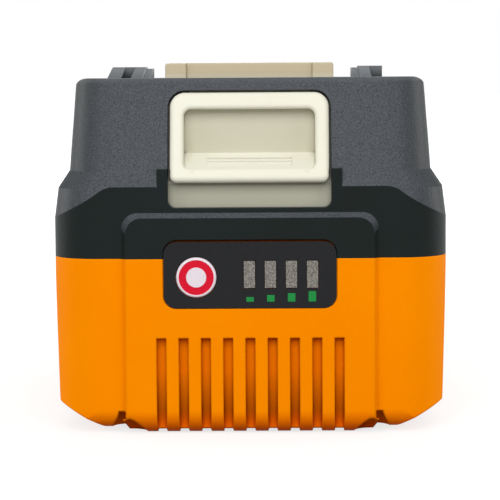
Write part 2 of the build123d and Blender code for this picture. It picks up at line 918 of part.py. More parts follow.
def gauge_cable():
    """Flat cable from the gauge board up to the main board."""
    start = gauge_board_front + gauge_board_thickness
    rise = cell_depths[0] - cell_radius - cable_rise_gap - cable_thickness
    end = board_front + cable_end_inset
    path = FilletPolyline((0, start, cable_start), (0, rise, cable_start), (0, rise, cable_rise),
                          (0, end, cable_rise), (0, end, board_bottom), radius=cable_bend)
    across = Plane(origin=path @ 0, x_dir=(1, 0, 0), z_dir=path % 0)
    return sweep(across * Rectangle(cable_width, cable_thickness), path=path)


def cell(depth, level, side):
    """One round cell, lying across the pack with its nub towards the given side."""
    shoulder = cell_length - cell_nub
    profile = Polyline((0, 0), (cell_radius, 0), (cell_radius, shoulder - cell_shoulder),
                       (cell_radius - cell_shoulder, shoulder), (cell_nub_radius, shoulder),
                       (cell_nub_radius, cell_length), (0, cell_length), close=True)
    upright = revolve(Plane.XZ * make_face(profile), Axis.Z)
    return Pos(-side * cell_end, depth, level) * Rot(0, side * 90, 0) * upright


def cell_holder(side):
    """Frame with a socket for each cell end, and the posts for the main board."""
    inner = cell_end - holder_depth
    section = outline([(inner, holder_bottom), (cell_end, holder_bottom), (cell_end, holder_top),
                       (inner, holder_top)], 0)
    section = chamfer(section.vertices().group_by(Axis.X)[-1].sort_by(Axis.Y)[0], holder_chamfer)
    frame = front_view(section, holder_front, holder_rear - holder_front)
    root = holder_top - holder_skin
    for depth in board_post_depths:
        frame = frame + post(board_post_across, depth, board_post_radius, root, board_bottom)
    for depth in cell_depths:
        for level in (cell_low, cell_high):
            socket = Pos(0, depth, level) * Rot(0, 90, 0) * extrude(Circle(socket_radius), half_width)
            frame = frame - socket
    pilot = board_screw_radius + board_screw_gap
    for depth in board_post_depths:
        frame = frame - post(board_post_across, depth, pilot, board_top - board_screw_length, board_top)
    if side < 0:
        frame = mirror(frame, Plane.YZ)
    return frame


def cell_strip(side, first, last):
    """Nickel strip that joins the cell ends of neighbouring columns, with its tag beside the board."""
    near = side * cell_end
    far = side * (cell_end + strip_thickness)
    low, high = min(near, far), max(near, far)
    half = strip_width / 2
    foot = cell_low - strip_reach
    head = cell_high + strip_reach
    pieces = []
    for depth in cell_depths[first:last + 1]:
        pieces.append(block(low, high, depth - half, depth + half, foot, head))
    for level in (cell_low, cell_high):
        pieces.append(block(low, high, cell_depths[first] - half, cell_depths[last] + half,
                            level - half / 2, level + half / 2))
    tag = strip_tag_width / 2
    depth = cell_depths[first]
    pieces.append(block(low, high, depth - tag, depth + tag, cell_high, board_top + strip_tag_rise))
    return Part() + pieces


def side_sheet(side):
    """Insulating sheet over the strips of one side."""
    near = side * (cell_end + strip_thickness)
    far = near + side * sheet_thickness
    return block(min(near, far), max(near, far), holder_front + sheet_rim, holder_rear - sheet_rim,
                 holder_bottom + sheet_rim, holder_top - sheet_rim)


def main_board():
    """Circuit board on the posts of the two holders."""
    middle = board_front + board_length / 2
    plan = Pos(0, middle) * RectangleRounded(board_width, board_length, board_corner_radius)
    board = Pos(0, 0, board_bottom) * extrude(plan, board_thickness)
    for side in (-1, 1):
        for depth in board_post_depths:
            board = board - post(side * board_post_across, depth, board_screw_radius + board_screw_gap,
                                 board_bottom, board_top)
    return board


def board_screws():
    """Screws through the main board into the holders."""
    screws = []
    for side in (-1, 1):
        for depth in board_post_depths:
            across = side * board_post_across
            shank = post(across, depth, board_screw_radius, board_top - board_screw_length, board_top)
            head = post(across, depth, board_screw_head_radius, board_top, board_top + board_screw_head)
            screws.append((shank + head).solid())
    return Compound(children=screws)


def power_transistors():
    """Row of power transistors that switch the pack's current."""
    width, length, height = transistor_size
    packages = []
    for index in range(transistor_count):
        middle = (index - (transistor_count - 1) / 2) * transistor_pitch
        packages.append(block(middle - width / 2, middle + width / 2, transistor_middle - length / 2,
                              transistor_middle + length / 2, board_top, board_top + height).solid())
    return Compound(children=packages)


def control_chip():
    """Chip that watches the cells."""
    width, length, height = chip_size
    return block(-width / 2, width / 2, chip_middle - length / 2, chip_middle + length / 2,
                 board_top, board_top + height)


def power_terminal(side):
    """Clip of two springy leaves that grips the tool's blade."""
    root, pinch, mouth = [share * terminal_half_width for share in terminal_gap_share]
    low = board_top + terminal_base
    pieces = [Pos(0, board_top + terminal_base / 2) * Rectangle(2 * terminal_half_width, terminal_base)]
    for hand in (-1, 1):
        inner = [(root, low), (pinch, terminal_pinch), (mouth, terminal_height)]
        outer = [(across + terminal_leaf, level) for across, level in reversed(inner)]
        points = [(hand * across, level) for across, level in inner + outer]
        pieces.append(make_face(Polyline(*points, close=True)))
    section = Sketch() + pieces
    return Pos(side * blade_across, 0, 0) * front_view(section, terminal_front, terminal_length)


def signal_pins():
    """Pins that the tool's signal plug slides on to."""
    rear = plug_front - connector_gap
    half = pin_width / 2
    pins = []
    for index in range(pin_count):
        middle = (index - (pin_count - 1) / 2) * pin_pitch
        pins.append(block(middle - half, middle + half, rear - pin_root, rear + pin_reach,
                          pin_height - half, pin_height + half).solid())
    return Compound(children=pins)


def signal_connector():
    """Plastic body that holds the signal pins in front of the plug window."""
    rear = plug_front - connector_gap
    body = block(-connector_width / 2, connector_width / 2, rear - connector_length, rear,
                 board_top, connector_height)
    return body - signal_pins()


def thermistor():
    """Bead that feels the cells' warmth, with its two leads."""
    depth = (cell_depths[2] + cell_depths[3]) / 2
    reach = cell_radius + thermistor_radius + thermistor_gap
    level = cell_high + max(reach ** 2 - (cell_pitch / 2) ** 2, 0) ** 0.5
    bead = Pos(-thermistor_length / 2, depth, level) * Rot(0, 90, 0) * extrude(Circle(thermistor_radius),
                                                                                thermistor_length)
    half = thermistor_lead_pitch / 2
    leads = [post(across, depth, thermistor_lead_radius, level, board_bottom) for across in (-half, half)]
    return bead + leads


def case_screws():
    """Four screws that hold the case halves together."""
    screws = []
    for across, depth in screw_places:
        head = post(across, depth, screw_head_radius, screw_seat - screw_head_height, screw_seat)
        shank = post(across, depth, screw_shank_radius, screw_seat, screw_seat + screw_length)
        screws.append((head + shank).solid())
    return Compound(children=screws)


nodes = {
    "lower_case": lower_case(), "upper_case": upper_case(), "release_button": release_button(),
    "spring_left": button_spring(-1), "spring_right": button_spring(1), "check_button": check_button(),
    "gauge_label": gauge_label(), "light_guides": light_guides(), "gauge_board": gauge_board(),
    "gauge_lights": gauge_lights(), "check_switch": check_switch(), "gauge_cable": gauge_cable(),
    "cell_holder_left": cell_holder(-1), "cell_holder_right": cell_holder(1),
    "side_sheet_left": side_sheet(-1), "side_sheet_right": side_sheet(1),
    "main_board": main_board(), "board_screws": board_screws(),
    "power_transistors": power_transistors(), "control_chip": control_chip(),
    "negative_terminal": power_terminal(-1), "positive_terminal": power_terminal(1),
    "signal_connector": signal_connector(), "signal_pins": signal_pins(),
    "thermistor": thermistor(), "case_screws": case_screws(),
}
for column, depth in enumerate(cell_depths):
    nub_side = 1 if column % 2 else -1
    nodes["cell_low_" + str(column + 1)] = cell(depth, cell_low, nub_side)
    nodes["cell_high_" + str(column + 1)] = cell(depth, cell_high, nub_side)
for side, label, starts in ((-1, "left", (0, 1, 3)), (1, "right", (0, 2, 4))):
    for order, first in enumerate(starts):
        last = starts[order + 1] - 1 if order + 1 < len(starts) else cell_columns - 1
        nodes["cell_strip_" + label + "_" + str(order + 1)] = cell_strip(side, first, last)

os.makedirs("parts", exist_ok=True)
for name, shape in nodes.items():
    export_step(shape, "parts/" + name + ".step")
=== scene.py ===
import math

import bmesh
import bpy
from mathutils import Matrix, Vector


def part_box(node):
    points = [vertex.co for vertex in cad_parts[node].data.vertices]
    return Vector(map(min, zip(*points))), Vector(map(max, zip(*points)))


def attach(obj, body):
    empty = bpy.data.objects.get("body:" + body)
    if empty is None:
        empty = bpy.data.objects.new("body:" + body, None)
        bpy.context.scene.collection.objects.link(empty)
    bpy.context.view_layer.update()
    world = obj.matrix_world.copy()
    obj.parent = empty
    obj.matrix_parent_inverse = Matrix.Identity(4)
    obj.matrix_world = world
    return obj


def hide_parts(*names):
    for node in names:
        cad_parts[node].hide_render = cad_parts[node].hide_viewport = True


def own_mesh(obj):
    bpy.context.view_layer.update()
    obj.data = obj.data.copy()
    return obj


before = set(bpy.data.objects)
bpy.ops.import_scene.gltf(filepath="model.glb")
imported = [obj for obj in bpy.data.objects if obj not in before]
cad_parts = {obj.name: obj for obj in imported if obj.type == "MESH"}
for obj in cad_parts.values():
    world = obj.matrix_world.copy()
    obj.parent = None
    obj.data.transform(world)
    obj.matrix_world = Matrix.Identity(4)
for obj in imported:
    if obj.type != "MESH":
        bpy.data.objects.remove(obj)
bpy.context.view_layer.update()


# The pack stands on a pale table top. Its paint is plain and matt, and it keeps the soft shadow
# under the case, while further out it runs on into the white of the studio.
table_size = 6.0
table_grey = (0.3, 0.3, 0.3, 1)
table_roughness = 0.9
table_gloss = 0.1
shadow_reach, shadow_glow = 0.12, 0.74
white_reach, white_glow = 0.45, 1.0
plain_white = (1, 1, 1, 1)


def new_material(name):
    """An empty node material, with its tree and its main shader."""
    material = bpy.data.materials.new(name)
    material.use_nodes = True
    tree = material.node_tree
    return material, tree, tree.nodes["Principled BSDF"]


def own_place(tree):
    """The place of a point on its piece, in metres."""
    return tree.nodes.new("ShaderNodeTexCoord").outputs["Object"]


def work_out(tree, operation, *values):
    """A number worked out from others."""
    node = tree.nodes.new("ShaderNodeMath")
    node.operation = operation
    for socket, value in zip(node.inputs, values):
        tree.links.new(value, socket)
    return node.outputs[0]


def measure(tree, operation, first, second=None):
    """A number worked out from one or two vectors. The second may be three plain numbers."""
    node = tree.nodes.new("ShaderNodeVectorMath")
    node.operation = operation
    tree.links.new(first, node.inputs[0])
    if isinstance(second, tuple):
        node.inputs[1].default_value = second
    elif second is not None:
        tree.links.new(second, node.inputs[1])
    return node.outputs["Value"]


def spread_between(tree, value, low, high, low_in=0.0, high_in=1.0):
    """A value spread over another range."""
    spread = tree.nodes.new("ShaderNodeMapRange")
    spread.inputs["From Min"].default_value = low_in
    spread.inputs["From Max"].default_value = high_in
    spread.inputs["To Min"].default_value = low
    spread.inputs["To Max"].default_value = high
    tree.links.new(value, spread.inputs["Value"])
    return spread.outputs["Result"]


def seen_directly(tree):
    """One for rays from the camera, a mirror or glass, and zero for the light that bounces about."""
    path = tree.nodes.new("ShaderNodeLightPath")
    mirrored = work_out(tree, "MAXIMUM", path.outputs["Is Camera Ray"], path.outputs["Is Glossy Ray"])
    return work_out(tree, "MAXIMUM", mirrored, path.outputs["Is Transmission Ray"])


bpy.ops.object.select_all(action="DESELECT")
bpy.ops.mesh.primitive_plane_add(size=table_size, location=(0, 0, 0))
table_top = bpy.context.object
table_top.name = "table_top"
table_paint, tree, shader = new_material("table_paint")
shader.inputs["Base Color"].default_value = table_grey
shader.inputs["Roughness"].default_value = table_roughness
shader.inputs["Specular IOR Level"].default_value = table_gloss
shader.inputs["Emission Color"].default_value = plain_white
distance = measure(tree, "LENGTH", own_place(tree))
glow = spread_between(tree, distance, shadow_glow, white_glow, low_in=shadow_reach, high_in=white_reach)
tree.links.new(work_out(tree, "MULTIPLY", glow, seen_directly(tree)), shader.inputs["Emission Strength"])
table_top.data.materials.append(table_paint)


# The studio: a white room, one wide soft box high in front of the button end, a weak one at each
# front corner, and one on each side and over the rear, so that every face is evenly lit.
room_light = 0.2
room_shown = 1.0
pack_middle = Vector((0, 0, 0.04))
world = bpy.data.worlds.new("studio_room")
bpy.context.scene.world = world
world.use_nodes = True
tree = world.node_tree
room = tree.nodes["Background"]
room.inputs["Color"].default_value = plain_white
tree.links.new(spread_between(tree, seen_directly(tree), room_light, room_shown), room.inputs["Strength"])


def soft_box(name, place, width, height, power):
    """A square lamp that faces the middle of the pack and isn't itself seen."""
    lamp = bpy.data.lights.new(name, "AREA")
    lamp.shape = "RECTANGLE"
    lamp.size = width
    lamp.size_y = height
    lamp.energy = power
    holder = bpy.data.objects.new(name, lamp)
    bpy.context.scene.collection.objects.link(holder)
    holder.location = place
    aim = pack_middle - Vector(place)
    holder.rotation_mode = "QUATERNION"
    holder.rotation_quaternion = aim.to_track_quat("-Z", "Y")
    holder.visible_camera = False


soft_box("front_box", place=(-0.03, -0.8, 0.52), width=0.8, height=0.6, power=6.15)
soft_box("left_corner_box", place=(-0.8, -0.56, 0.45), width=0.45, height=0.45, power=1.8)
soft_box("right_corner_box", place=(0.8, -0.56, 0.45), width=0.45, height=0.45, power=1.8)
soft_box("left_box", place=(-0.92, 0.32, 0.28), width=0.5, height=0.4, power=4.2)
soft_box("right_box", place=(0.92, 0.32, 0.28), width=0.5, height=0.4, power=4.2)
soft_box("rear_box", place=(0.1, 0.95, 0.4), width=0.6, height=0.4, power=4.5)


# The camera stands level with the button and a little above the deck, about 400 mm in front,
# turned by a fraction of a degree, as the photograph was taken.
camera_place = (0.005393, -0.457, 0.072)
camera_turn = 0.01339
camera_tilt = 0.09213
camera_roll = 0.00657
focal_pixels = 2140.4
frame_pixels = 500
sensor_width = 36.0
straight_up = Vector((0, 0, 1))
across = Vector((math.cos(camera_turn), math.sin(camera_turn), 0))
level = Vector((-math.sin(camera_turn), math.cos(camera_turn), 0))
ahead = level * math.cos(camera_tilt) - straight_up * math.sin(camera_tilt)
above = level * math.sin(camera_tilt) + straight_up * math.cos(camera_tilt)
right = across * math.cos(camera_roll) - above * math.sin(camera_roll)
upward = across * math.sin(camera_roll) + above * math.cos(camera_roll)
lens = bpy.data.cameras.new("photo_camera")
lens.sensor_fit = "HORIZONTAL"
lens.sensor_width = sensor_width
lens.lens = focal_pixels * sensor_width / frame_pixels
camera = bpy.data.objects.new("photo_camera", lens)
bpy.context.scene.collection.objects.link(camera)
camera.matrix_world = Matrix((
    (right.x, upward.x, -ahead.x, camera_place[0]),
    (right.y, upward.y, -ahead.y, camera_place[1]),
    (right.z, upward.z, -ahead.z, camera_place[2]),
    (0, 0, 0, 1)))
bpy.context.scene.camera = camera
bpy.context.scene.view_settings.view_transform = "Standard"


# The lower case is one injection moulding in tough orange plastic. The mould is fine-eroded, so
# the skin is matt with a faint grain, and the handled edges are a shade paler. The slots of the
# panel and the foot are darker with painted shade, and the rim under the parting line is deeper in colour.
cloud_scale = 45
wear_scale, most_wear = 260, 0.8
gloss_drift, spot_share = 0.08, 0.6
edge_samples, recess_samples = 6, 8
slot_shade_foot, slot_shade_head, slot_shade_head_share = 0.002, 0.012, 0.26
foot_shade_height = 0.0045
rim_start, rim_end = 0.035, 0.0362
up_the_case = (0, 0, 1)


def tint(red, green, blue):
    """A colour given as 0 to 255, as the linear colour that a shader takes, by the sRGB curve."""
    linear = []
    for part in (red, green, blue):
        part = part / 255
        linear.append(part / 12.92 if part <= 0.04045 else ((part + 0.055) / 1.055) ** 2.4)
    return (*linear, 1.0)


def grain_of(tree, scale, detail=2.0, roughness=0.5):
    """Noise fixed to the piece, of the given number of grains per metre."""
    noise = tree.nodes.new("ShaderNodeTexNoise")
    noise.inputs["Scale"].default_value = scale
    noise.inputs["Detail"].default_value = detail
    noise.inputs["Roughness"].default_value = roughness
    tree.links.new(own_place(tree), noise.inputs["Vector"])
    return noise.outputs["Fac"]


def blend_colours(tree, factor, first, second):
    """A mix of two colours, each a colour or another node's output."""
    mix = tree.nodes.new("ShaderNodeMix")
    mix.data_type = "RGBA"
    tree.links.new(factor, mix.inputs["Factor"])
    for socket, colour in ((mix.inputs[6], first), (mix.inputs[7], second)):
        if isinstance(colour, tuple):
            socket.default_value = colour
        else:
            tree.links.new(colour, socket)
    return mix.outputs[2]


def rounded_edges(tree, radius):
    """Normals turned as if every edge had a small radius, and a mask that is one along the edges."""
    bevel = tree.nodes.new("ShaderNodeBevel")
    bevel.samples = edge_samples
    bevel.inputs["Radius"].default_value = radius
    geometry = tree.nodes.new("ShaderNodeNewGeometry")
    match = measure(tree, "DOT_PRODUCT", bevel.outputs["Normal"], geometry.outputs["Normal"])
    return bevel.outputs["Normal"], spread_between(tree, match, 1.0, 0.0, low_in=0.8, high_in=0.99)


def raised_by(tree, height, distance, strength, normal=None):
    """A bump from a height value, on top of another normal."""
    bump = tree.nodes.new("ShaderNodeBump")
    bump.inputs["Distance"].default_value = distance
    bump.inputs["Strength"].default_value = strength
    tree.links.new(height, bump.inputs["Height"])
    if normal is not None:
        tree.links.new(normal, bump.inputs["Normal"])
    return bump.outputs["Normal"]


def moulded_plastic(name, colour, shade, edge_colour, grain, depth, rough, gloss, edge, shine=plain_white):
    """Injection-moulded plastic: colour that drifts a little, an eroded grain and softened edges."""
    material, tree, shader = new_material(name)
    clouds = grain_of(tree, cloud_scale, detail=3.0)
    drift = spread_between(tree, clouds, 0.0, 1.0, low_in=0.3, high_in=0.7)
    body = blend_colours(tree, drift, colour, shade)
    normal, edges = rounded_edges(tree, edge)
    patches = spread_between(tree, grain_of(tree, wear_scale), 0.0, most_wear, low_in=0.35, high_in=0.7)
    worn = work_out(tree, "MULTIPLY", edges, patches)
    tree.links.new(blend_colours(tree, worn, body, edge_colour), shader.inputs["Base Color"])
    dull_spots = grain_of(tree, grain * spot_share)
    tree.links.new(spread_between(tree, dull_spots, rough - gloss_drift, rough + gloss_drift,
                                  low_in=0.3, high_in=0.7), shader.inputs["Roughness"])
    pits = grain_of(tree, grain, detail=3.0, roughness=0.6)
    tree.links.new(raised_by(tree, pits, depth, strength=1.0, normal=normal), shader.inputs["Normal"])
    shader.inputs["Specular IOR Level"].default_value = gloss
    shader.inputs["Specular Tint"].default_value = shine
    return material


def recolour(material, amount, other_colour):
    """Turn a material's colour to another one, where the amount says so."""
    tree = material.node_tree
    socket = tree.nodes["Principled BSDF"].inputs["Base Color"]
    tree.links.new(blend_colours(tree, amount, socket.links[0].from_socket, other_colour), socket)


def shade_recesses(material, reach, low, high, painted_shade_colour, foot=0.0, head=1.0, head_share=1.0, alone=True):
    """Painted shade: turn the colour to a darker one where a form, or a gap, closes round it, most at the
    foot.
    """
    tree = material.node_tree
    closed = tree.nodes.new("ShaderNodeAmbientOcclusion")
    closed.samples = recess_samples
    closed.only_local = alone
    closed.inputs["Distance"].default_value = reach
    rise = measure(tree, "DOT_PRODUCT", own_place(tree), up_the_case)
    depth_share = spread_between(tree, closed.outputs["AO"], 1.0, 0.0, low_in=low, high_in=high)
    height_share = spread_between(tree, rise, 1.0, head_share, low_in=foot, high_in=head)
    recolour(material, work_out(tree, "MULTIPLY", depth_share, height_share), painted_shade_colour)


def shade_along(material, direction, start, end, other_colour):
    """Turn the colour to another one along a direction, between two distances in metres."""
    tree = material.node_tree
    along = measure(tree, "DOT_PRODUCT", own_place(tree), direction)
    recolour(material, spread_between(tree, along, 0.0, 1.0, low_in=start, high_in=end), other_colour)


def dress(material, *names):
    """Give CAD nodes their finish."""
    for name in names:
        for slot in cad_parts[name].material_slots:
            slot.material = material


orange_plastic = moulded_plastic(
    "orange_plastic", colour=tint(255, 144, 0), shade=tint(252, 139, 0), edge_colour=tint(255, 152, 4),
    grain=2600, depth=0.00003, rough=0.55, gloss=0.04, edge=0.0005, shine=(1.0, 0.3, 0.0, 1))
# Painted shade: the slots are darker where they close in, most towards the foot.
shade_recesses(orange_plastic, reach=0.0025, low=0.45, high=0.85, painted_shade_colour=tint(140, 30, 0),
               foot=slot_shade_foot, head=slot_shade_head, head_share=slot_shade_head_share)
# Painted shade: the colour darkens towards the foot.
shade_along(orange_plastic, up_the_case, foot_shade_height, 0.0, tint(239, 93, 0))
shade_along(orange_plastic, up_the_case, rim_start, rim_end, tint(150, 72, 0))
dress(orange_plastic, "lower_case")


# Ten round cells in green shrink film, five columns of two. The film is thin, glossy and a
# little wrinkled round the shoulder.
def thin_skin(name, colour, shade, clouds, grain, depth, strength):
    """A film, paper, paint or ink whose colour drifts between two shades, with a fine grain."""
    material, tree, shader = new_material(name)
    tree.links.new(blend_colours(tree, grain_of(tree, *clouds), colour, shade), shader.inputs["Base Color"])
    tree.links.new(raised_by(tree, grain_of(tree, *grain), depth, strength), shader.inputs["Normal"])
    return material, tree, shader


cell_film, tree, shader = thin_skin("cell_film", tint(40, 105, 85), tint(30, 90, 72), clouds=(90, 2.0),
                                    grain=(350, 3.0), depth=0.00004, strength=0.6)
wrinkles = grain_of(tree, scale=400)
tree.links.new(spread_between(tree, wrinkles, low=0.2, high=0.38), shader.inputs["Roughness"])
dress(cell_film, *["cell_" + layer + "_" + str(column) for layer in ("low", "high")
                   for column in range(1, 6)])


# The cell holders are black mouldings, plain and matt, which screw posts turn into the carrier
# of the main board.
holder_plastic = moulded_plastic(
    "holder_plastic", colour=tint(44, 46, 48), shade=tint(36, 38, 40), edge_colour=tint(70, 72, 74),
    grain=1800, depth=0.00002, rough=0.6, gloss=0.3, edge=0.0003)
dress(holder_plastic, "cell_holder_left", "cell_holder_right")


# Nickel strip, rolled lengthwise, is spot-welded to the cells. It has a fine brushed grain and
# dull patches where fingers touched it.
finger_scale = 150
brush_depth = 0.00001
brush_gloss, brush_dullness = 0.1, 0.12


def brushed_metal(name, colour, shade, rough, stretch, scale):
    """Metal with fine lines along one direction and cloudy patches."""
    material, tree, shader = new_material(name)
    shader.inputs["Metallic"].default_value = 1.0
    squeeze = tree.nodes.new("ShaderNodeMapping")
    squeeze.inputs["Scale"].default_value = stretch
    tree.links.new(own_place(tree), squeeze.inputs["Vector"])
    lines = tree.nodes.new("ShaderNodeTexNoise")
    lines.inputs["Scale"].default_value = scale
    lines.inputs["Detail"].default_value = 3.0
    tree.links.new(squeeze.outputs["Vector"], lines.inputs["Vector"])
    patches = grain_of(tree, finger_scale, detail=3.0)
    tree.links.new(blend_colours(tree, patches, colour, shade), shader.inputs["Base Color"])
    tree.links.new(spread_between(tree, lines.outputs["Fac"], rough - brush_gloss, rough + brush_dullness,
                                  low_in=0.3, high_in=0.7), shader.inputs["Roughness"])
    tree.links.new(raised_by(tree, lines.outputs["Fac"], brush_depth, strength=0.6), shader.inputs["Normal"])
    return material


nickel = brushed_metal("nickel", tint(200, 198, 190), tint(178, 176, 168), rough=0.32,
                       stretch=(1, 0.08, 1), scale=2500)
dress(nickel, *["cell_strip_" + side + "_" + str(order) for side in ("left", "right")
                for order in range(1, 4)])


# Insulating paper sheets lie over the strips, cut from grey-green fish paper. Its fibres show,
# and they make it rough.
paper_roughness = 0.85
fish_paper, tree, shader = thin_skin("fish_paper", tint(196, 190, 160), tint(176, 170, 142),
                                     clouds=(700, 4.0, 0.7), grain=(1800, 3.0), depth=0.00003, strength=0.7)
shader.inputs["Roughness"].default_value = paper_roughness
dress(fish_paper, "side_sheet_left", "side_sheet_right")


# The circuit boards are green lacquered laminate. Copper tracks show as slightly raised, paler
# lines under the lacquer.
track_scale, track_width, track_softness = 260, 0.06, 0.2
lacquer_roughness = 0.3
coat_weight, coat_roughness = 0.4, 0.1
board_lacquer, tree, shader = new_material("board_lacquer")
tracks = tree.nodes.new("ShaderNodeTexBrick")
tracks.inputs["Scale"].default_value = track_scale
tracks.inputs["Mortar Size"].default_value = track_width
tracks.inputs["Mortar Smooth"].default_value = track_softness
tree.links.new(own_place(tree), tracks.inputs["Vector"])
laminate = blend_colours(tree, grain_of(tree, scale=600, detail=3.0), tint(16, 84, 48), tint(12, 70, 40))
tree.links.new(blend_colours(tree, tracks.outputs["Fac"], laminate, tint(40, 120, 66)),
               shader.inputs["Base Color"])
shader.inputs["Roughness"].default_value = lacquer_roughness
shader.inputs["Coat Weight"].default_value = coat_weight
shader.inputs["Coat Roughness"].default_value = coat_roughness
tree.links.new(raised_by(tree, tracks.outputs["Fac"], distance=0.00004, strength=0.7),
               shader.inputs["Normal"])
dress(board_lacquer, "main_board", "gauge_board")


# Chips, power transistors, the push switch and the thermistor bead are moulded in black epoxy,
# which is matt with a sandy grain.
epoxy = moulded_plastic(
    "epoxy", colour=tint(34, 34, 36), shade=tint(28, 28, 30), edge_colour=tint(60, 60, 62),
    grain=3500, depth=0.00001, rough=0.55, gloss=0.3, edge=0.0001)
dress(epoxy, "power_transistors", "control_chip", "check_switch", "thermistor")


# The board's screws are zinc-plated steel, turned on a lathe. They hold the main board down on
# the posts of the cell holders.
zinc = brushed_metal("zinc", tint(190, 192, 196), tint(165, 168, 174), rough=0.35,
                     stretch=(1, 1, 0.2), scale=3000)
dress(zinc, "board_screws")


# The blade clips and the signal pins are tinned brass, punched from strip, bright on the
# contact faces.
tinned_brass = brushed_metal("tinned_brass", tint(206, 186, 140), tint(184, 162, 118), rough=0.28,
                             stretch=(1, 0.1, 1), scale=2800)
dress(tinned_brass, "negative_terminal", "positive_terminal", "signal_pins")


# The signal connector is a small yellow-brown moulding that stands on the main board and holds
# the pins apart.
connector_plastic = moulded_plastic(
    "connector_plastic", colour=tint(226, 206, 120), shade=tint(214, 192, 104),
    edge_colour=tint(236, 220, 150), grain=2400, depth=0.00001, rough=0.45, gloss=0.4, edge=0.0002)
dress(connector_plastic, "signal_connector")


# The flat cable joins the gauge to the main board. It is white film over seven flat wires, which
# show as fine ribs.
rib_scale = 220
cable_roughness = 0.35
cable_film, tree, shader = new_material("cable_film")
ribs = tree.nodes.new("ShaderNodeTexWave")
ribs.bands_direction = "X"
ribs.inputs["Scale"].default_value = rib_scale
tree.links.new(own_place(tree), ribs.inputs["Vector"])
tree.links.new(blend_colours(tree, ribs.outputs["Fac"], tint(222, 222, 218), tint(190, 192, 196)),
               shader.inputs["Base Color"])
shader.inputs["Roughness"].default_value = cable_roughness
tree.links.new(raised_by(tree, ribs.outputs["Fac"], distance=0.00005, strength=0.8), shader.inputs["Normal"])
dress(cable_film, "gauge_cable")


# The light guides are bars of frosted grey plastic that fill the four charge windows. Their
# front faces are coarse, so that the light of the lamps behind spreads over them.
frost_scale = 3400
frost_roughness = 0.45
frosted_guide, tree, shader = new_material("frosted_guide")
frost = grain_of(tree, frost_scale, detail=2.0, roughness=0.7)
sparkle = spread_between(tree, frost, 0.0, 1.0, low_in=0.36, high_in=0.64)
tree.links.new(blend_colours(tree, sparkle, tint(67, 63, 57), tint(148, 143, 134)),
               shader.inputs["Base Color"])
shader.inputs["Roughness"].default_value = frost_roughness
tree.links.new(raised_by(tree, frost, distance=0.00006, strength=0.8), shader.inputs["Normal"])
dress(frosted_guide, "light_guides", "gauge_lights")


# The two springs under the release button are coiled from drawn steel wire, bright along its
# length. They stand on the case's shelf.
weld_reach = 0.000002
wire_smoothing = math.radians(40)
spring_wire = brushed_metal("spring_wire", tint(186, 188, 192), tint(150, 152, 158), rough=0.3,
                            stretch=(1, 1, 1), scale=3000)


def take_up(piece):
    """Make a piece the only one selected, and the active one."""
    bpy.ops.object.select_all(action="DESELECT")
    piece.select_set(True)
    bpy.context.view_layer.objects.active = piece


for side in ("left", "right"):
    coil = bpy.data.objects.new("coil_" + side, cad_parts["spring_" + side].data.copy())
    bpy.context.scene.collection.objects.link(coil)
    take_up(coil)
    bpy.ops.object.mode_set(mode="EDIT")
    bpy.ops.mesh.select_all(action="SELECT")
    bpy.ops.mesh.remove_doubles(threshold=weld_reach)
    bpy.ops.object.mode_set(mode="OBJECT")
    bpy.ops.object.shade_smooth_by_angle(angle=wire_smoothing)
    coil.data.materials.clear()
    coil.data.materials.append(spring_wire)
    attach(coil, "pack")
    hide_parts("spring_" + side)
    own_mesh(coil)


# The release button is one cream moulding with the latch tongue. Its mould is smoother than the
# cases', so the skin is satin. The lip and the well's floor keep the plain colour. The well's wall,
# the skirt and the tongue are greyer with painted shade, and the gaps round the button are painted dark as
# shade.
cream = tint(235, 233, 216)
lip_lean = 0.268
lip_plane = -0.06957
well_shade_start, well_shade_end = lip_plane + 0.0012, lip_plane + 0.0042
skirt_shade_full, skirt_shade_start = 0.0472, 0.0476
tongue_shade_start, tongue_shade_end = 0.0666, 0.0682


def facing(tree, normal):
    """How far the surface looks sideways and up, by its flat or its smooth normal."""
    skin = tree.nodes.new("ShaderNodeNewGeometry")
    parts = tree.nodes.new("ShaderNodeSeparateXYZ")
    tree.links.new(skin.outputs[normal], parts.inputs[0])
    return parts.outputs


cream_plastic = moulded_plastic(
    "cream_plastic", colour=cream, shade=tint(232, 229, 210), edge_colour=tint(238, 236, 221),
    grain=1500, depth=0.00001, rough=0.42, gloss=0.25, edge=0.0005)
# Painted shade on the well's wall, growing with depth behind the lip.
shade_along(cream_plastic, (0, 1, -lip_lean), well_shade_start, well_shade_end, tint(200, 197, 176))
tree = cream_plastic.node_tree
# Faces that look up keep the plain cream, free of the painted shade.
upward_faces_unshaded = spread_between(tree, facing(tree, "True Normal")["Z"], 0.0, 1.0, low_in=0.4, high_in=0.7)
recolour(cream_plastic, upward_faces_unshaded, cream)
# Painted shade on the skirt below the lip.
shade_along(cream_plastic, up_the_case, skirt_shade_start, skirt_shade_full, tint(173, 172, 154))
# Painted shade on the tongue above the case.
shade_along(cream_plastic, up_the_case, tongue_shade_start, tongue_shade_end, tint(197, 183, 153))
# Painted shade, dark, in the gaps round the button.
shade_recesses(cream_plastic, reach=0.001, low=0.25, high=0.6, painted_shade_colour=tint(40, 38, 33), alone=False)
dress(cream_plastic, "release_button")


